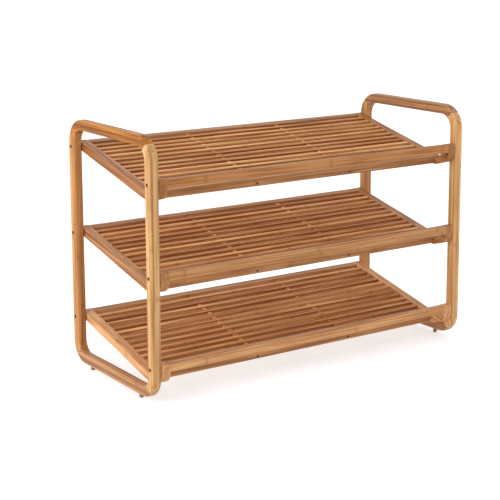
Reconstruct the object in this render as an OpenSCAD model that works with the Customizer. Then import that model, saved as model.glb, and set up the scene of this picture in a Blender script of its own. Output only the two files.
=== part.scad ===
// Three-tier slatted shoe rack of laminated bamboo.
// Two closed loop frames with rounded corners carry three slatted shelves that tilt to the front.
// The origin is on the floor under the middle of the rack, +Z is up and -Y is the open front.

/* [Overall size] */
// Width over both end frames
rack_w = 735; // [600:5:900]
// Depth of the end frames
rack_d = 310; // [296:2:340]
// Height of the end frames without their feet
frame_h = 480; // [470:5:560]

/* [End frames] */
// Side of the square section of posts and rails
frame_t = 20; // [19:0.5:24]
// Radius of the rounded long edges of the frame section
frame_edge_r = 5; // [2:0.5:6]
// Outer radius of the top corners
top_corner_r = 47; // [36:1:60]
// Outer radius of the bottom corners
base_corner_r = 42; // [36:1:50]
// Diameter of the dowels in the mitred corners
mitre_dowel_d = 6; // [5:0.5:7]
// Length of the dowels in the mitred corners
mitre_dowel_l = 24; // [18:1:28]

/* [Feet] */
// Height of the exposed rubber foot
foot_h = 9; // [6:0.5:12]
// Diameter of the exposed rubber foot
foot_d = 8; // [7:0.5:12]
// Diameter of the stem pushed up into the bottom rail
foot_stem_d = 5; // [4:0.5:6]
// Length of the stem
foot_stem_l = 10; // [8:1:14]
// Distance from the front or back of the frame to a foot's centre
foot_inset = 60; // [52:1:80]

/* [Shelves] */
// Forward tilt of the shelves in degrees
tilt = 13; // [10:0.5:14]
// Height above the frame's underside where the lowest shelf's top plane meets the frame's front
first_shelf_z = 27; // [26:0.5:34]
// Vertical distance from one shelf to the next
shelf_pitch = 168.5; // [160:0.5:172]
// Thickness of the side, rear and front rails of a shelf
rail_t = 15.5; // [14:0.5:18]
// Width of a side rail, across the rack
side_rail_w = 18; // [18:0.5:22]
// Width of the rear rail, front to back
rear_rail_w = 15; // [12:0.5:18]
// Width of the front rail, front to back
front_rail_w = 15; // [12:0.5:16]
// Number of slats on a shelf
slat_count = 12; // [10:1:12]
// Width of a slat
slat_w = 8.5; // [8:0.5:9.5]
// Thickness of a slat
slat_t = 9; // [8:0.5:9]
// Clear gap between slats
slat_gap = 10.7; // [10:0.1:10.8]
// Length of the tenon on each end of a slat
tenon_l = 5; // [4:0.5:6]
// Width of a batten let into the underside of the slats
batten_w = 8; // [7:0.5:10]
// Depth of the battens' tops below the tops of the slats
batten_drop = 3; // [2.5:0.5:4]

/* [Shelf fronts] */
// Height of the top of the raised toe above the shelf's plane at the frame's front
toe_h = 39; // [37:0.5:42]
// Radius of the toe's rounded lower front
toe_r = 22; // [18:1:24]
// Distance from the frame's front back to the front of the toe and the stop bar
toe_setback = 1; // [0:0.5:3]
// Depth of the stop bar, front to back
stop_d = 15; // [12:0.5:17]
// Height of the stop bar
stop_h = 17; // [14:0.5:19]

/* [Fasteners] */
// Shank diameter of the assembly bolts
bolt_d = 4; // [3:0.5:5]
// Head diameter of the assembly bolts
bolt_head_d = 7; // [6:0.5:8]
// Length of the bolt head
bolt_head_l = 4; // [3:0.5:5]
// Depth of the counterbore that sinks the bolt head
bolt_sink = 5.5; // [5:0.5:7]
// Outer diameter of the threaded inserts
insert_d = 7; // [6:0.5:8]
// Length of the threaded inserts
insert_l = 9; // [8:0.5:9]
// Diameter of the dowels that join the shelf rails
rail_dowel_d = 6; // [5:0.5:6]
// Length of the dowels that join the shelf rails
rail_dowel_l = 16; // [14:1:16]
// Shank diameter of the screws that hold the battens
screw_d = 3; // [2.5:0.5:3.5]
// Length of the batten screws
screw_l = 32; // [28:1:36]

/* [Hidden] */
$fn = 48;
levels = ["lower", "middle", "upper"];
sides = ["left", "right"];
frame_parts = ["front_post", "rear_post", "top_rail", "bottom_rail"];
shelf_parts = ["left_side_rail", "right_side_rail", "rear_rail", "front_rail",
               "stop_bar", "slats", "battens"];
small_parts = ["front_left_foot", "front_right_foot", "rear_left_foot", "rear_right_foot",
               "mitre_dowels", "rail_dowels", "batten_screws", "assembly_bolts",
               "threaded_inserts"];

// Clearance between a fastener and its hole, on the diameter
fit = 0.1;
// Short overlap that makes a cut run clean through a face
eps = 0.5;
// Steps in a quarter turn of a small rounded edge
edge_steps = 6;
// Steps in the toe's large front arc
toe_steps = 12;
// Room left past the end of a dowel, a stem or a bolt
end_gap = 1;
// Radius of the rounded edges of shelf members, and of the stop bar
shelf_edge_r = 2;
stop_edge_r = 3;
// Section of the tenon on a slat, smaller than the slat by this much all round
tenon_shoulder = 2;
// Diameters of the clearance hole for a bolt's shank and of the counterbore for its head
bolt_hole_d = bolt_d + 0.5;
bolt_bore_d = bolt_head_d + 0.4;
// Width across the flats of the hexagon socket in a bolt head
socket_w = 3;
// Depth of the hexagon socket
socket_depth = 2.5;
// Diameter of a batten screw's head
screw_head_d = 5;
// Height of a batten screw's conical head
screw_head_h = 1.5;

half_w = rack_w / 2;
inner_x = half_w - frame_t;
slat_l = 2 * (inner_x - side_rail_w);
slat_step = slat_w + slat_gap;
batten_x = slat_l / 6;
batten_t = rail_t - batten_drop;
socket_r = socket_w / 2 / cos(30);

// Along the slope of a shelf, from the point where its top plane meets the frame's front
shelf_end = (rack_d - rail_t * sin(tilt)) / cos(tilt);
first_slat = shelf_end - rear_rail_w - slat_gap - slat_w / 2;
last_slat = first_slat - (slat_count - 1) * slat_step;
front_rail_start = last_slat - slat_w / 2 - slat_gap - front_rail_w;
rear_bolt_along = (rack_d - frame_t / 2 - rail_t / 2 * sin(tilt)) / cos(tilt);

// The toe of a side rail, upright, from the same point
toe_bolt_y = frame_t / 2;
toe_bolt_z = toe_h - stop_h / 2;
// The toe reaches a little behind the stop bar
toe_back_y = toe_setback + stop_d + 2;
// Radius of the toe's top corners
toe_top_r = 3;
// Where the toe's back slopes down to the top of the rail, and where the straight rail starts
toe_slope_y = toe_back_y + 10;
toe_heel_y = 42;
// Overlap that welds the toe to the straight rail
toe_weld = 4;

// Colours of the parts
wood_post = "#E6BC8C";
wood_rail = "#D29A62";
wood_shelf = "#C48F62";
wood_slat = "#B97F50";
wood_dowel = "#D8B98C";
steel = "#5A544E";
brass = "#B59A55";
rubber = "#6E6259";

// ---- Helpers ----

// Points of an arc, counter-clockwise from angle a to angle b
function arc(centre, r, a, b, steps) =
    [for (i = [0:steps]) let (t = a + (b - a) * i / steps) centre + r * [cos(t), sin(t)]];

// A rectangle with rounded corners, with its low corner at the origin
module rounded_rect(w, h, r) {
    polygon(concat(
        arc([w - r, h - r], r, 0, 90, edge_steps),
        arc([r, h - r], r, 90, 180, edge_steps),
        arc([r, r], r, 180, 270, edge_steps),
        arc([w - r, r], r, 270, 360, edge_steps)));
}

// A bar of rounded section along X, centred on X, from (y, z) up to (y + d, z + h)
module bar_x(length, y, z, d, h, r) {
    translate([-length / 2, y, z])
        rotate([90, 0, 90])
            linear_extrude(length)
                rounded_rect(d, h, r);
}

// A cylinder along X, from x = 0 towards +X
module rod_x(d, l) {
    rotate([0, 90, 0])
        cylinder(d = d, h = l);
}

// Puts a thing built from the frame's front and underside in its place on the floor
module stand() {
    translate([0, -rack_d / 2, foot_h])
        children();
}

// One shelf's own place: its top plane meets the frame's front at the origin
module at_shelf(level) {
    stand()
        translate([0, 0, first_shelf_z + level * shelf_pitch])
            children();
}

// The same place, turned so that +Y runs up the slope and +Z is square to the slats
module on_slope(level) {
    at_shelf(level)
        rotate([tilt, 0, 0])
            children();
}

// ---- End frames ----

// Two pins set across a mitre, in the frame's own plane. The pins stand at the middle of a bend
// whose arc has its centre at (y, z), and angle is the direction from there to the corner.
module mitre_pins(corner_r, y, z, angle, d, l) {
    reach = corner_r - frame_t / 2;
    for (x = [-1, 1])
        translate([x * frame_t / 4, y, z])
            rotate([angle, 0, 0])
                translate([0, reach, -l / 2])
                    cylinder(d = d, h = l);
}

// Turns a shape at the front end of the frame round to the rear end, or leaves it alone
module at_end(rear) {
    translate([0, rear ? rack_d : 0, 0])
        mirror([0, rear ? 1 : 0, 0])
            children();
}

// All pins of one end frame, for x = 0 at the middle of the section
module frame_pins(d, l) {
    for (rear = [false, true])
        at_end(rear) {
            mitre_pins(top_corner_r, top_corner_r, frame_h - top_corner_r, 135, d, l);
            mitre_pins(base_corner_r, base_corner_r, base_corner_r, 225, d, l);
        }
}

// Half of a rounded corner: an eighth of a ring in the YZ plane. It starts square to a shaft, at
// the angle start, and turns 45 degrees to the mitre, counter-clockwise or the other way.
module half_bend(corner_r, y, z, start, clockwise) {
    translate([-frame_t / 2, y, z])
        rotate([90, 0, 90])
            rotate([0, 0, start])
                mirror([0, clockwise ? 1 : 0, 0])
                    rotate_extrude(angle = 45, $fn = 96)
                        translate([corner_r - frame_t, 0])
                            rounded_rect(frame_t, frame_t, frame_edge_r);
}

// A straight post between the two bends
module post_shaft() {
    translate([-frame_t / 2, 0, base_corner_r])
        linear_extrude(frame_h - top_corner_r - base_corner_r)
            rounded_rect(frame_t, frame_t, frame_edge_r);
}

// A straight rail between two bends of radius r, with its underside at z
module rail_shaft(r, z) {
    translate([-frame_t / 2, rack_d - r, z])
        rotate([90, 0, 0])
            linear_extrude(rack_d - 2 * r)
                rounded_rect(frame_t, frame_t, frame_edge_r);
}

// Holes through the posts of one end frame for the bolts, entered from -X
module post_bolt_holes() {
    for (level = [0:2])
        translate([-frame_t / 2, 0, first_shelf_z + level * shelf_pitch]) {
            translate([0, toe_bolt_y, toe_bolt_z])
                stepped_hole();
            rotate([tilt, 0, 0])
                translate([0, rear_bolt_along, -rail_t / 2])
                    stepped_hole();
        }
}

// A counterbored hole along +X from the outer face
module stepped_hole() {
    translate([-eps, 0, 0])
        rod_x(bolt_bore_d, bolt_sink + eps);
    rod_x(bolt_hole_d, frame_t + eps);
}

// Mirrors a left-hand part to the right side, or leaves it alone
module on_side(side) {
    mirror([side == "right" ? 1 : 0, 0, 0])
        translate([-half_w + frame_t / 2, 0, 0])
            children();
}

module post(side, rear) {
    color(wood_post)
        stand()
            on_side(side)
                difference() {
                    at_end(rear) {
                        post_shaft();
                        half_bend(top_corner_r, top_corner_r, frame_h - top_corner_r, 180, true);
                        half_bend(base_corner_r, base_corner_r, base_corner_r, 180, false);
                    }
                    frame_pins(mitre_dowel_d + fit, mitre_dowel_l + end_gap);
                    post_bolt_holes();
                }
}

module top_rail(side) {
    z = frame_h - top_corner_r;
    color(wood_rail)
        stand()
            on_side(side)
                difference() {
                    union() {
                        rail_shaft(top_corner_r, frame_h - frame_t);
                        for (rear = [false, true])
                            at_end(rear)
                                half_bend(top_corner_r, top_corner_r, z, 90, false);
                    }
                    frame_pins(mitre_dowel_d + fit, mitre_dowel_l + end_gap);
                }
}

module bottom_rail(side) {
    color(wood_rail)
        stand()
            on_side(side)
                difference() {
                    union() {
                        rail_shaft(base_corner_r, 0);
                        for (rear = [false, true])
                            at_end(rear)
                                half_bend(base_corner_r, base_corner_r, base_corner_r, 270, true);
                    }
                    frame_pins(mitre_dowel_d + fit, mitre_dowel_l + end_gap);
                    for (y = [foot_inset, rack_d - foot_inset])
                        translate([0, y, -eps])
                            cylinder(d = foot_stem_d + fit, h = foot_stem_l + end_gap + eps);
                }
}

module foot(side, rear) {
    color(rubber)
        stand()
            on_side(side)
                translate([0, rear ? rack_d - foot_inset : foot_inset, -foot_h]) {
                    cylinder(d = foot_d, h = foot_h);
                    cylinder(d = foot_stem_d, h = foot_h + foot_stem_l);
                }
}

// ---- Shelves ----

// Side view of a side rail: a straight bar up the slope whose front end turns up into a toe
module side_rail_outline() {
    toe_centre = [toe_setback + toe_r, toe_bolt_z - stop_h / 2];
    heel_low = (toe_heel_y * sin(tilt) - rail_t) / cos(tilt);
    rotate(tilt)
        translate([toe_heel_y, -rail_t])
            square([shelf_end - toe_heel_y, rail_t]);
    polygon(concat(
        arc([toe_back_y - toe_top_r, toe_h - toe_top_r], toe_top_r, 0, 90, edge_steps),
        arc([toe_setback + toe_top_r, toe_h - toe_top_r], toe_top_r, 90, 180, edge_steps),
        arc(toe_centre, toe_r, 180, 260, toe_steps),
        [[toe_heel_y, heel_low],
         [toe_heel_y + rail_t * sin(tilt) + toe_weld, toe_heel_y * tan(tilt)],
         [toe_slope_y, toe_slope_y * tan(tilt)]]));
}

// Blind holes in one side rail, for x = 0 at its outer face and +X towards the slats
module side_rail_holes() {
    translate([-eps, toe_bolt_y, toe_bolt_z])
        rod_x(insert_d + fit, insert_l + eps);
    translate([side_rail_w - rail_dowel_l / 2, toe_setback + stop_d / 2, toe_bolt_z])
        rod_x(rail_dowel_d + fit, rail_dowel_l);
    rotate([tilt, 0, 0]) {
        translate([-eps, rear_bolt_along, -rail_t / 2])
            rod_x(insert_d + fit, insert_l + eps);
        for (y = [front_rail_start + front_rail_w / 2, shelf_end - rear_rail_w / 2])
            translate([side_rail_w - rail_dowel_l / 2, y, -rail_t / 2])
                rod_x(rail_dowel_d + fit, rail_dowel_l);
        for (i = [0:slat_count - 1])
            translate([side_rail_w - tenon_l, first_slat - i * slat_step, -slat_t / 2])
                tenon(tenon_l + eps, fit);
    }
}

// A slat's tenon along +X, centred on the slat's section
module tenon(l, extra) {
    w = slat_w - 2 * tenon_shoulder + extra;
    h = slat_t - 2 * tenon_shoulder + extra;
    translate([0, -w / 2, -h / 2])
        cube([l, w, h]);
}

module side_rail(level, side) {
    color(wood_shelf)
        at_shelf(level)
            mirror([side == "right" ? 1 : 0, 0, 0])
                translate([-inner_x, 0, 0])
                    difference() {
                        rotate([90, 0, 90])
                            linear_extrude(side_rail_w)
                                side_rail_outline();
                        side_rail_holes();
                    }
}

// Two dowel holes, one in each end of a bar along X
module end_dowel_holes(y, z) {
    for (s = [0, 1])
        mirror([s, 0, 0])
            translate([-slat_l / 2 - eps, y, z])
                rod_x(rail_dowel_d + fit, rail_dowel_l / 2 + end_gap + eps);
}

module rear_rail(level) {
    y = shelf_end - rear_rail_w;
    color(wood_shelf)
        on_slope(level)
            difference() {
                bar_x(slat_l, y, -rail_t, rear_rail_w, rail_t, shelf_edge_r);
                end_dowel_holes(y + rear_rail_w / 2, -rail_t / 2);
                screw_set(fit);
            }
}

module front_rail(level) {
    color(wood_shelf)
        on_slope(level)
            difference() {
                bar_x(slat_l, front_rail_start, -rail_t, front_rail_w, rail_t, shelf_edge_r);
                end_dowel_holes(front_rail_start + front_rail_w / 2, -rail_t / 2);
                screw_set(fit);
            }
}

module stop_bar(level) {
    color(wood_shelf)
        at_shelf(level)
            difference() {
                bar_x(slat_l, toe_setback, toe_h - stop_h, stop_d, stop_h, stop_edge_r);
                end_dowel_holes(toe_setback + stop_d / 2, toe_bolt_z);
            }
}

module slat() {
    notch_w = batten_w + fit;
    difference() {
        bar_x(slat_l, -slat_w / 2, -slat_t, slat_w, slat_t, shelf_edge_r);
        for (x = [-batten_x, batten_x])
            translate([x - notch_w / 2, -slat_w / 2 - eps, -slat_t - eps])
                cube([notch_w, slat_w + 2 * eps, slat_t - batten_drop + eps]);
    }
    for (s = [0, 1])
        mirror([s, 0, 0])
            translate([-slat_l / 2 - tenon_l, 0, -slat_t / 2])
                tenon(tenon_l + eps, 0);
}

module slats(level) {
    color(wood_slat)
        on_slope(level)
            for (i = [0:slat_count - 1])
                translate([0, first_slat - i * slat_step, 0])
                    slat();
}

module battens(level) {
    start = front_rail_start + front_rail_w;
    length = shelf_end - rear_rail_w - start;
    color(wood_slat)
        on_slope(level)
            difference() {
                for (x = [-batten_x, batten_x])
                    translate([x - batten_w / 2, start, -rail_t])
                        cube([batten_w, length, batten_t]);
                screw_set(fit);
            }
}

// ---- Fasteners ----

// The four screws of a shelf, two through the front rail and two through the rear rail
module screw_set(extra) {
    z = -rail_t + batten_t / 2;
    for (x = [-batten_x, batten_x]) {
        translate([x, front_rail_start, z])
            rotate([-90, 0, 0])
                screw(extra);
        translate([x, shelf_end, z])
            rotate([90, 0, 0])
                screw(extra);
    }
}

// A countersunk screw along +Z with its head's face at z = 0
module screw(extra) {
    cylinder(d1 = screw_head_d + extra, d2 = screw_d + extra, h = screw_head_h);
    cylinder(d = screw_d + extra, h = screw_l + extra);
}

module batten_screws() {
    color(steel)
        for (level = [0:2])
            on_slope(level)
                screw_set(0);
}

module mitre_dowels() {
    color(wood_dowel)
        stand()
            for (side = sides)
                on_side(side)
                    frame_pins(mitre_dowel_d, mitre_dowel_l);
}

module rail_dowels() {
    start = slat_l / 2 - rail_dowel_l / 2;
    color(wood_dowel)
        for (level = [0:2], s = [0, 1])
            mirror([s, 0, 0]) {
                at_shelf(level)
                    translate([start, toe_setback + stop_d / 2, toe_bolt_z])
                        rod_x(rail_dowel_d, rail_dowel_l);
                on_slope(level)
                    for (y = [front_rail_start + front_rail_w / 2, shelf_end - rear_rail_w / 2])
                        translate([start, y, -rail_t / 2])
                            rod_x(rail_dowel_d, rail_dowel_l);
            }
}

// Places its children at every bolt, with x = 0 on the outer face of the post and +X inwards
module at_bolts() {
    for (level = [0:2], s = [0, 1])
        mirror([s, 0, 0])
            at_shelf(level)
                translate([-half_w, 0, 0]) {
                    translate([0, toe_bolt_y, toe_bolt_z])
                        children();
                    rotate([tilt, 0, 0])
                        translate([0, rear_bolt_along, -rail_t / 2])
                            children();
                }
}

module assembly_bolts() {
    head_x = bolt_sink - bolt_head_l;
    color(steel)
        at_bolts()
            difference() {
                union() {
                    translate([head_x, 0, 0])
                        rod_x(bolt_head_d, bolt_head_l);
                    translate([head_x, 0, 0])
                        rod_x(bolt_d, frame_t + insert_l - head_x - end_gap);
                }
                translate([head_x - eps, 0, 0])
                    rotate([0, 90, 0])
                        cylinder(r = socket_r, h = socket_depth + eps, $fn = 6);
            }
}

module threaded_inserts() {
    color(brass)
        at_bolts()
            translate([frame_t, 0, 0])
                difference() {
                    rod_x(insert_d, insert_l);
                    translate([-eps, 0, 0])
                        rod_x(bolt_d + fit, insert_l + 2 * eps);
                }
}

// ---- Parts ----

for (side = sides) {
    post(side, false);
    post(side, true);
    top_rail(side);
    bottom_rail(side);
    foot(side, false);
    foot(side, true);
}
for (level = [0:2]) {
    side_rail(level, "left");
    side_rail(level, "right");
    rear_rail(level);
    front_rail(level);
    stop_bar(level);
    slats(level);
    battens(level);
}
mitre_dowels();
rail_dowels();
batten_screws();
assembly_bolts();
threaded_inserts();
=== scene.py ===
import math

import bpy
from mathutils import Matrix, Vector


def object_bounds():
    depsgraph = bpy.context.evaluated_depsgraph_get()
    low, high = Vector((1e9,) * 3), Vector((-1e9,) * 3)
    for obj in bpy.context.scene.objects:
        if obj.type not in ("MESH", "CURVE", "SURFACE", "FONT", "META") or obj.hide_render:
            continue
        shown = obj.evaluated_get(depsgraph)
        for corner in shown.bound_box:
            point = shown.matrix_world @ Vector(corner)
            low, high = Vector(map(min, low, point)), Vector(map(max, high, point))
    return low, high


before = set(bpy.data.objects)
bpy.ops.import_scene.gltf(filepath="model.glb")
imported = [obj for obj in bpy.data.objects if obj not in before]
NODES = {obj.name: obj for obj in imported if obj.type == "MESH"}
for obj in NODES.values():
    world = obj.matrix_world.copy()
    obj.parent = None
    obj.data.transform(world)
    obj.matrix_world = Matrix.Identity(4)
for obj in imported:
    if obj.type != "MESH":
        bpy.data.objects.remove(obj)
CAD_LOW, CAD_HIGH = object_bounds()

LEVELS = ("lower", "middle", "upper")
SIDES = ("left", "right")
X_AXIS = Vector((1, 0, 0))
Y_AXIS = Vector((0, 1, 0))
Z_AXIS = Vector((0, 0, 1))
MM = 0.001

# ---- The direction of the sloping pieces' fibres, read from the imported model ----


def batten_diagonal():
    """The unit vector from a batten's front upper corner to its rear lower corner.

    It is about 3 degrees flatter than the shelves, so fibres that follow it run out of the
    side rails and the battens at that angle.
    """
    corners = [v.co for v in NODES["upper_battens"].data.vertices]
    front = min(corners, key=lambda p: (round(p.y, 4), -p.z))
    back = max(corners, key=lambda p: (round(p.y, 4), -p.z))
    return Vector((0, back.y - front.y, back.z - front.z)).normalized()


NEAR_SLOPE = batten_diagonal()


# ---- Small helpers for shader nodes ----


def linear(hex_colour):
    """An sRGB colour such as "#C48F62" as linear RGBA."""
    values = []
    for start in (1, 3, 5):
        c = int(hex_colour[start:start + 2], 16) / 255
        values.append(c / 12.92 if c <= 0.04045 else ((c + 0.055) / 1.055) ** 2.4)
    return (*values, 1.0)


class Shader:
    """A material with one Principled shader, and short calls that add and join nodes."""

    def __init__(self, name):
        self.material = bpy.data.materials.new(name)
        self.material.use_nodes = True
        self.tree = self.material.node_tree
        self.principled = self.tree.nodes["Principled BSDF"]

    def add(self, kind, **settings):
        node = self.tree.nodes.new(kind)
        for key, value in settings.items():
            setattr(node, key, value)
        return node

    def put(self, socket, value):
        """Joins value to socket if it is a socket, and otherwise sets it."""
        if isinstance(value, bpy.types.NodeSocket):
            self.tree.links.new(value, socket)
        else:
            socket.default_value = value

    def math(self, operation, *values):
        node = self.add("ShaderNodeMath", operation=operation)
        for socket, value in zip(node.inputs, values):
            self.put(socket, value)
        return node.outputs[0]

    def dot(self, vector, axis):
        node = self.add("ShaderNodeVectorMath", operation="DOT_PRODUCT")
        self.put(node.inputs[0], vector)
        self.put(node.inputs[1], tuple(axis))
        return node.outputs["Value"]

    def combine(self, x, y, z):
        node = self.add("ShaderNodeCombineXYZ")
        for socket, value in zip(node.inputs, (x, y, z)):
            self.put(socket, value)
        return node.outputs[0]

    def noise(self, vector, scale, detail, roughness):
        node = self.add("ShaderNodeTexNoise")
        self.put(node.inputs["Vector"], vector)
        node.inputs["Scale"].default_value = scale
        node.inputs["Detail"].default_value = detail
        node.inputs["Roughness"].default_value = roughness
        return node.outputs["Fac"]

    def random(self, *values):
        """White noise from 0 to 1 that depends on one to three values."""
        vector = self.combine(*(list(values) + [0.0, 0.0])[:3])
        node = self.add("ShaderNodeTexWhiteNoise", noise_dimensions="3D")
        self.put(node.inputs["Vector"], vector)
        return node.outputs["Value"]

    def ramp(self, value, low, high, to_low=0.0, to_high=1.0, smooth=True):
        """Maps value from low..high to to_low..to_high and holds it at the ends."""
        kind = "SMOOTHSTEP" if smooth else "LINEAR"
        node = self.add("ShaderNodeMapRange", interpolation_type=kind, clamp=True)
        for socket, number in zip(node.inputs, (value, low, high, to_low, to_high)):
            self.put(socket, number)
        return node.outputs[0]

    def mix(self, amount, a, b):
        node = self.add("ShaderNodeMix", data_type="RGBA")
        self.put(node.inputs["Factor"], amount)
        self.put(node.inputs["A"], a)
        self.put(node.inputs["B"], b)
        return node.outputs["Result"]

    def bump(self, height, distance, strength):
        node = self.add("ShaderNodeBump")
        node.inputs["Distance"].default_value = distance
        node.inputs["Strength"].default_value = strength
        self.put(node.inputs["Height"], height)
        return node.outputs[0]


# ---- Bamboo ----


class Tone:
    """The light, middle and dark colours of one kind of bamboo piece."""

    def __init__(self, light, middle, dark):
        self.light = linear(light)
        self.middle = linear(middle)
        self.dark = linear(dark)


# Each post has a tone of its own: partly the bamboo's own colour and partly painted light and
# shade, since each post is paler or darker for how the light falls on it
POST_TONES_AND_PAINTED_LIGHT = {
    "left_front_post": Tone("#C89E6C", "#B28452", "#8A5C2E"),
    "right_front_post": Tone("#D2A673", "#BE8D59", "#966638"),
    "left_rear_post": Tone("#BC8852", "#A8703E", "#784A20"),
    "right_rear_post": Tone("#BC8752", "#AA7140", "#7C4C24"),
}
# The left top rail has a tone of its own: partly the bamboo's own golden colour and partly
# painted light, since it is lit differently from the other rails
GOLDEN_RAIL_WITH_PAINTED_LIGHT = Tone("#B8782C", "#9C5F1C", "#68390C")
PLAIN_RAIL = Tone("#B2845A", "#9A6A43", "#6E472A")
# Each shelf's side rails and stop bar have a tone of their own, and the rear and front rails of
# all shelves share the middle one: partly the bamboo's own colour and partly painted light and
# shade, since each shelf is paler or darker for how the light falls on it
SHELF_TONES_AND_PAINTED_LIGHT = {
    "upper": Tone("#B07A48", "#966033", "#6E4320"),
    "middle": Tone("#B88658", "#A06B3E", "#794C28"),
    "lower": Tone("#D2A474", "#BD8656", "#94643A"),
}
# the slats' light colour is also the painted highlight on their rounded edges
SLAT = Tone("#DCA46A", "#AC6A34", "#7A4318")
# dark colour of the painted shade on the slats' front and rear faces
SLAT_FLANK_PAINTED_SHADE = linear("#744014")
NODE_BROWN = linear("#63381A")

# Frequencies of the patterns, per metre along the fibres and across them
STREAK_ALONG, STREAK_ACROSS = 5.0, 260.0
FIBRE_ALONG, FIBRE_ACROSS = 55.0, 2600.0
CLOUD_SCALE = 9.0
BUNDLE_SCALE = 1000.0
# Distance between the culm's joints in metres: the least, and how much a strip may add
JOINT_SPACING, JOINT_SPREAD = 0.27, 0.13
JOINT_WOBBLE = 3.0 * MM
# How strongly each feature shows, from 0 to 1
JOINT_HALO, JOINT_LINE = 0.22, 0.25
# painted highlight on rounded edges: first on the slats, then on every other piece
PAINTED_SLAT_HIGHLIGHT, PAINTED_EDGE_HIGHLIGHT = 0.85, 0.22
# how much painted shade the slats' front and rear faces get
FLANK_PAINTED_SHADE = 0.4
STRIP_CONTRAST = 0.62
# The shade at which a piece has its middle tone, and the one at which it has its dark tone
SHADE_MIDDLE, SHADE_DARK = 0.45, 1.05
GRAIN_RELIEF = 0.12 * MM


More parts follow.
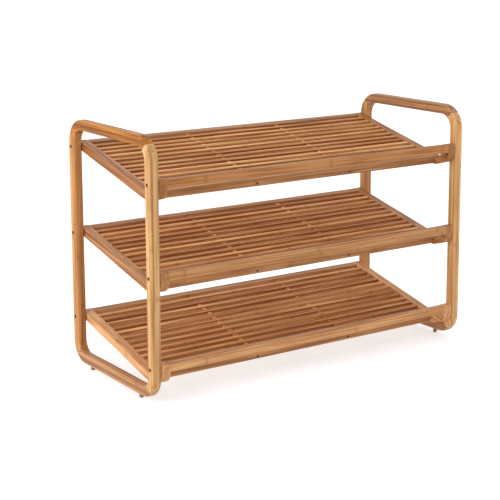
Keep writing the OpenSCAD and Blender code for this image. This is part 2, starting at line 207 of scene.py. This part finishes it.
def bamboo(name, tone, grain, side, seed, strip=6 * MM, pitch=0.0, origin=0.0):
    """Laminated bamboo whose fibres run along grain.

    side is square to the grain, and the strips are counted along it and along the third axis.
    With pitch, one strip is one slat: they are counted from origin, pitch apart, their
    rounded edges get a strong painted highlight and their flanks painted shade. On other
    pieces the rounded edges get a faint painted highlight.
    """
    s = Shader(name)
    third = grain.cross(side)
    coords = s.add("ShaderNodeTexCoord")
    place = coords.outputs["Object"]
    normal = coords.outputs["Normal"]
    along = s.dot(place, grain)
    across = s.dot(place, side)
    deep = s.dot(place, third)

    # which strip a point is in
    if pitch:
        steps = s.math("DIVIDE", s.math("SUBTRACT", across, origin), pitch)
        strip_id = s.math("ROUND", steps)
    else:
        steps = s.math("DIVIDE", s.math("ADD", across, seed * strip), strip)
        strip_id = s.math("FLOOR", steps)
    layer_id = s.math("FLOOR", s.math("DIVIDE", deep, 3 * strip))
    own = s.random(strip_id, layer_id, seed)
    own_shift = s.random(strip_id, layer_id, seed + 17.3)

    # long streaks along the fibres, and the fibres themselves
    grain_x = s.math("ADD", along, s.math("MULTIPLY", own_shift, 3.0))
    streak_at = s.combine(s.math("MULTIPLY", grain_x, STREAK_ALONG),
                          s.math("MULTIPLY", across, STREAK_ACROSS),
                          s.math("MULTIPLY", deep, STREAK_ACROSS))
    streak = s.noise(streak_at, 1.0, 3.0, 0.55)
    fibre_at = s.combine(s.math("MULTIPLY", grain_x, FIBRE_ALONG),
                         s.math("MULTIPLY", across, FIBRE_ACROSS),
                         s.math("MULTIPLY", deep, FIBRE_ACROSS))
    fibre = s.noise(fibre_at, 1.0, 2.0, 0.6)
    cloud = s.noise(s.combine(grain_x, across, deep), CLOUD_SCALE, 2.0, 0.5)

    # the culm's joints: a thin dark line across each strip, every so often
    spacing = s.math("ADD", JOINT_SPACING, s.math("MULTIPLY", own, JOINT_SPREAD))
    cycles = s.math("DIVIDE", grain_x, spacing)
    phase = s.math("ABSOLUTE", s.math("SUBTRACT", s.math("FRACT", cycles), 0.5))
    wobble = s.math("MULTIPLY", s.math("SUBTRACT", streak, 0.5), JOINT_WOBBLE)
    from_joint = s.math("ADD", s.math("MULTIPLY", phase, spacing), wobble)
    joint_line = s.ramp(from_joint, 0.4 * MM, 1.6 * MM, 1.0, 0.0)
    joint_halo = s.ramp(from_joint, 1.0 * MM, 9.0 * MM, 1.0, 0.0)

    # the colour, from light to dark
    shade = s.math("ADD", s.ramp(streak, 0.32, 0.68, -0.15, 0.85, smooth=False),
                   s.math("MULTIPLY", s.math("SUBTRACT", own, 0.5), STRIP_CONTRAST))
    shade = s.math("ADD", shade, s.ramp(cloud, 0.3, 0.7, -0.12, 0.2, smooth=False))
    shade = s.math("ADD", shade, s.ramp(fibre, 0.52, 0.78, 0.0, 0.34))
    lighter = s.ramp(shade, 0.0, SHADE_MIDDLE, smooth=False)
    darker = s.ramp(shade, SHADE_MIDDLE, SHADE_DARK, smooth=False)
    colour = s.mix(lighter, tone.light, tone.middle)
    colour = s.mix(darker, colour, tone.dark)
    colour = s.mix(s.math("MULTIPLY", joint_halo, JOINT_HALO), colour, tone.dark)
    colour = s.mix(s.math("MULTIPLY", joint_line, JOINT_LINE), colour, NODE_BROWN)

    # across the fibres the cut ends of their bundles show as small dots
    facing = s.math("ABSOLUTE", s.dot(normal, grain))
    end = s.ramp(facing, 0.72, 0.9)
    bundles = s.add("ShaderNodeTexVoronoi", feature="F1")
    s.put(bundles.inputs["Vector"], place)
    bundles.inputs["Scale"].default_value = BUNDLE_SCALE
    dots = s.ramp(bundles.outputs["Distance"], 0.18, 0.42, 1.0, 0.0)
    end_colour = s.mix(s.math("MULTIPLY", dots, 0.4), tone.middle, tone.dark)
    end_colour = s.mix(0.5, end_colour, colour)
    colour = s.mix(end, colour, end_colour)

    # rounded edges get a painted highlight towards the light colour, patchy with the cloud:
    # strong on slats, faint on other pieces
    flatness = s.math("MAXIMUM", s.math("ABSOLUTE", s.dot(normal, side)),
                      s.math("ABSOLUTE", s.dot(normal, third)))
    flatness = s.math("MAXIMUM", flatness, facing)
    painted_highlight = s.ramp(flatness, 0.98, 0.8, 0.0, PAINTED_SLAT_HIGHLIGHT if pitch else PAINTED_EDGE_HIGHLIGHT)
    painted_highlight = s.math("MULTIPLY", painted_highlight, s.ramp(cloud, 0.35, 0.6, 0.3, 1.0))
    if pitch:
        # the slats' front and rear faces are darkened: painted shade, for their place between
        # the slats
        facing_side = s.math("ABSOLUTE", s.dot(normal, side))
        painted_flank_shade = s.ramp(facing_side, 0.75, 0.98, 0.0, FLANK_PAINTED_SHADE)
        colour = s.mix(painted_flank_shade, colour, SLAT_FLANK_PAINTED_SHADE)
    colour = s.mix(painted_highlight, colour, tone.light)

    rough = s.ramp(streak, 0.3, 0.75, 0.40, 0.56, smooth=False)
    rough = s.math("ADD", rough, s.math("MULTIPLY", dots, s.math("MULTIPLY", end, 0.15)))
    relief = s.math("SUBTRACT", s.math("MULTIPLY", joint_halo, 0.5),
                    s.math("MULTIPLY", fibre, 0.8))
    relief = s.math("SUBTRACT", relief, s.math("MULTIPLY", streak, 0.5))

    s.put(s.principled.inputs["Base Color"], colour)
    s.put(s.principled.inputs["Roughness"], rough)
    s.put(s.principled.inputs["Normal"], s.bump(relief, GRAIN_RELIEF, 0.6))
    s.principled.inputs["Specular IOR Level"].default_value = 0.15
    s.principled.inputs["Coat Weight"].default_value = 0.08
    s.principled.inputs["Coat Roughness"].default_value = 0.3
    s.principled.inputs["Coat IOR"].default_value = 1.5
    return s.material


def dowel_wood(name):
    """Plain turned dowel, pale and dry."""
    s = Shader(name)
    place = s.add("ShaderNodeTexCoord").outputs["Object"]
    rings = s.noise(place, 900.0, 3.0, 0.6)
    colour = s.mix(rings, linear("#C9A577"), linear("#E4C79C"))
    s.put(s.principled.inputs["Base Color"], colour)
    s.put(s.principled.inputs["Roughness"], s.ramp(rings, 0.3, 0.7, 0.6, 0.75))
    s.put(s.principled.inputs["Normal"], s.bump(rings, 0.05 * MM, 0.5))
    return s.material


def metal(name, dark, light, rough):
    """Turned metal with fine scratches and a little grime."""
    s = Shader(name)
    place = s.add("ShaderNodeTexCoord").outputs["Object"]
    grime = s.noise(place, 700.0, 4.0, 0.6)
    scratch = s.noise(place, 5200.0, 2.0, 0.7)
    s.put(s.principled.inputs["Base Color"], s.mix(grime, linear(dark), linear(light)))
    s.put(s.principled.inputs["Roughness"], s.ramp(grime, 0.3, 0.7, rough, rough + 0.2))
    s.put(s.principled.inputs["Normal"], s.bump(scratch, 0.02 * MM, 0.6))
    s.principled.inputs["Metallic"].default_value = 1.0
    return s.material


def rubber(name):
    """Matt grey-brown rubber with a fine moulded texture and dust near the floor."""
    s = Shader(name)
    place = s.add("ShaderNodeTexCoord").outputs["Object"]
    speckle = s.noise(place, 2400.0, 3.0, 0.6)
    patch = s.noise(place, 260.0, 2.0, 0.5)
    colour = s.mix(patch, linear("#5C5048"), linear("#85786C"))
    dust = s.ramp(s.dot(place, Z_AXIS), 0.0, 4 * MM, 0.35, 0.0)
    colour = s.mix(dust, colour, linear("#A79C8F"))
    s.put(s.principled.inputs["Base Color"], colour)
    s.put(s.principled.inputs["Roughness"], s.ramp(speckle, 0.3, 0.7, 0.68, 0.85))
    s.put(s.principled.inputs["Normal"], s.bump(speckle, 0.08 * MM, 0.7))
    s.principled.inputs["Specular IOR Level"].default_value = 0.3
    return s.material


# ---- Dressing the CAD nodes ----

# Seeds that give every piece its own pattern: the first of each group, and the steps
POST_SEED, RAIL_SEED, SHELF_SEED = 3.1, 11.7, 23.9
SEED_PER_SIDE, SEED_PER_END, SEED_PER_SHELF = 5, 2, 7
# Widths of the small rounds on the edges
FRAME_EDGE = 0.5 * MM
SIDE_RAIL_EDGE = 1.3 * MM
BAR_EDGE = 0.4 * MM
SLAT_EDGE = 0.6 * MM
BATTEN_EDGE = 0.5 * MM
FOOT_EDGE = 0.6 * MM
DOWEL_EDGE = 0.3 * MM
BOLT_EDGE = 0.2 * MM
SCREW_EDGE = 0.15 * MM
# Vertices closer than this are one, faces flatter than this are one, and only sharper
# edges than this are rounded
WELD_DISTANCE = 0.01 * MM
FLAT_ANGLE = math.radians(0.6)
SHARP_ANGLE = math.radians(35)
# A stretch without a vertex that is longer than this lies between two slats
SLAT_GAP = 7 * MM


def dress(node_name, material, edge):
    """Gives a CAD node its material, smooth faces and a small round on its sharp edges."""
    node = NODES[node_name]
    node.data.materials.clear()
    node.data.materials.append(material)
    node.data.polygons.foreach_set("use_smooth", [True] * len(node.data.polygons))
    weld = node.modifiers.new("weld", "WELD")
    weld.merge_threshold = WELD_DISTANCE
    flat = node.modifiers.new("flat", "DECIMATE")
    flat.decimate_type = "DISSOLVE"
    flat.angle_limit = FLAT_ANGLE
    bevel = node.modifiers.new("edge", "BEVEL")
    bevel.width = edge
    bevel.segments = 2
    bevel.limit_method = "ANGLE"
    bevel.angle_limit = SHARP_ANGLE
    shading = node.modifiers.new("shading", "WEIGHTED_NORMAL")
    shading.keep_sharp = True


def dress_end_frames():
    """Posts and rails of the two end frames, each with a pattern of its own."""
    for k, side in enumerate(SIDES):
        for j, end in enumerate(("front", "rear")):
            name = f"{side}_{end}_post"
            seed = POST_SEED + SEED_PER_SIDE * k + SEED_PER_END * j
            dress(name, bamboo(name, POST_TONES_AND_PAINTED_LIGHT[name], Z_AXIS, Y_AXIS, seed), FRAME_EDGE)
        for j, end in enumerate(("top", "bottom")):
            name = f"{side}_{end}_rail"
            tone = GOLDEN_RAIL_WITH_PAINTED_LIGHT if name == "left_top_rail" else PLAIN_RAIL
            seed = RAIL_SEED + SEED_PER_SIDE * k + SEED_PER_END * j
            dress(name, bamboo(name, tone, Y_AXIS, Z_AXIS, seed), FRAME_EDGE)


def slat_places(node_name):
    """The first slat's place along NEAR_SLOPE and the distance from one slat to the next."""
    places = sorted({round(v.co.dot(NEAR_SLOPE), 5) for v in NODES[node_name].data.vertices})
    groups = [[places[0]]]
    for place in places[1:]:
        if place - groups[-1][-1] > SLAT_GAP:
            groups.append([])
        groups[-1].append(place)
    middles = [(g[0] + g[-1]) / 2 for g in groups]
    return middles[0], (middles[-1] - middles[0]) / (len(middles) - 1)


def dress_shelves():
    """Rails, stop bars, slats and battens of the three shelves."""
    for k, level in enumerate(LEVELS):
        seed = SHELF_SEED + SEED_PER_SHELF * k
        for j, side in enumerate(SIDES):
            name = f"{level}_{side}_side_rail"
            dress(name, bamboo(name, SHELF_TONES_AND_PAINTED_LIGHT[level], NEAR_SLOPE, X_AXIS, seed + j), SIDE_RAIL_EDGE)
        for j, part in enumerate(("rear_rail", "front_rail")):
            name = f"{level}_{part}"
            look = bamboo(name, SHELF_TONES_AND_PAINTED_LIGHT["middle"], X_AXIS, NEAR_SLOPE, seed + 2 + j)
            dress(name, look, BAR_EDGE)
        name = f"{level}_stop_bar"
        dress(name, bamboo(name, SHELF_TONES_AND_PAINTED_LIGHT[level], X_AXIS, Y_AXIS, seed + 4), BAR_EDGE)
        name = f"{level}_slats"
        first, pitch = slat_places(name)
        look = bamboo(name, SLAT, X_AXIS, NEAR_SLOPE, seed + 5, pitch=pitch, origin=first)
        dress(name, look, SLAT_EDGE)
        name = f"{level}_battens"
        dress(name, bamboo(name, SLAT, NEAR_SLOPE, X_AXIS, seed + 6), BATTEN_EDGE)


def dress_small_parts():
    """Feet, dowels, bolts, screws and inserts."""
    feet = rubber("foot_rubber")
    for end in ("front", "rear"):
        for side in SIDES:
            dress(f"{end}_{side}_foot", feet, FOOT_EDGE)
    dowels = dowel_wood("dowel_wood")
    dress("mitre_dowels", dowels, DOWEL_EDGE)
    dress("rail_dowels", dowels, DOWEL_EDGE)
    steel = metal("fastener_steel", "#2E2B29", "#57524D", 0.4)
    dress("assembly_bolts", steel, BOLT_EDGE)
    dress("batten_screws", steel, SCREW_EDGE)
    brass = metal("insert_brass", "#8C743A", "#C2A35C", 0.35)
    dress("threaded_inserts", brass, SCREW_EDGE)


# ---- Studio ----

CAMERA_PLACE = (-1.5213, -2.1702, 0.844)
CAMERA_YAW, CAMERA_PITCH, CAMERA_ROLL = -34.46, 10.52, -0.12
CAMERA_LENS_MM = 97.63
SENSOR_WIDTH_MM = 36.0
CAMERA_SHIFT_X, CAMERA_SHIFT_Y = -0.0165, -0.14
WHITE = (1.0, 1.0, 1.0, 1.0)
FLOOR_RADIUS = 40
FLOOR_GLOW = 0.62
# How the sky's strength (To) changes with height (From)
SKY = (("From Min", 0.1), ("From Max", 0.9), ("To Min", 1.06), ("To Max", 0.96))


def make_camera():
    """The camera stands in front and to the left, and looks a little down."""
    yaw, pitch, roll = (math.radians(a) for a in (CAMERA_YAW, CAMERA_PITCH, CAMERA_ROLL))
    data = bpy.data.cameras.new("camera")
    data.lens = CAMERA_LENS_MM
    data.sensor_width = SENSOR_WIDTH_MM
    data.shift_x = CAMERA_SHIFT_X
    data.shift_y = CAMERA_SHIFT_Y
    camera = bpy.data.objects.new("camera", data)
    turn = (Matrix.Rotation(yaw, 4, "Z")
            @ Matrix.Rotation(math.pi / 2 - pitch, 4, "X")
            @ Matrix.Rotation(roll, 4, "Z"))
    camera.matrix_world = Matrix.Translation(CAMERA_PLACE) @ turn
    bpy.context.scene.collection.objects.link(camera)
    bpy.context.scene.camera = camera


def make_floor():
    """A wide pale floor that glows a little, so that shadows on it stay faint."""
    bpy.ops.mesh.primitive_circle_add(vertices=96, radius=FLOOR_RADIUS, fill_type="NGON")
    floor = bpy.context.object
    floor.name = "floor"
    s = Shader("floor")
    place = s.add("ShaderNodeTexCoord").outputs["Object"]
    mottle = s.noise(place, 60.0, 3.0, 0.6)
    s.put(s.principled.inputs["Base Color"], s.mix(mottle, linear("#B4B4B3"), linear("#BCBCBB")))
    s.principled.inputs["Emission Color"].default_value = WHITE
    s.principled.inputs["Emission Strength"].default_value = FLOOR_GLOW
    s.principled.inputs["Roughness"].default_value = 0.7
    s.principled.inputs["Specular IOR Level"].default_value = 0.2
    floor.data.materials.append(s.material)


def area_light(name, place, size, power):
    """A square white soft box that shines at the middle of the rack."""
    data = bpy.data.lights.new(name, "AREA")
    data.shape = "SQUARE"
    data.size = size
    data.energy = power
    light = bpy.data.objects.new(name, data)
    light.location = place
    aim = (CAD_LOW + CAD_HIGH) / 2
    light.rotation_euler = (aim - Vector(place)).to_track_quat("-Z", "Y").to_euler()
    bpy.context.scene.collection.objects.link(light)


def make_light():
    """A bright even sky and three soft boxes, the strongest on the left."""
    world = bpy.data.worlds.new("studio")
    bpy.context.scene.world = world
    world.use_nodes = True
    nodes, links = world.node_tree.nodes, world.node_tree.links
    # white at the horizon and greyer overhead
    split = nodes.new("ShaderNodeSeparateXYZ")
    links.new(nodes.new("ShaderNodeTexCoord").outputs["Generated"], split.inputs[0])
    fade = nodes.new("ShaderNodeMapRange")
    links.new(split.outputs["Z"], fade.inputs["Value"])
    for name, value in SKY:
        fade.inputs[name].default_value = value
    background = nodes["Background"]
    background.inputs["Color"].default_value = WHITE
    links.new(fade.outputs[0], background.inputs["Strength"])
    area_light("key", (-3.2, 0.1, 1.3), size=1.4, power=72)
    area_light("fill", (1.6, -3.0, 1.6), size=1.8, power=4)
    area_light("back", (1.2, 2.4, 2.2), size=1.6, power=6)
    bpy.context.scene.view_settings.view_transform = "Standard"


make_camera()
make_floor()
make_light()
dress_end_frames()
dress_shelves()
dress_small_parts()
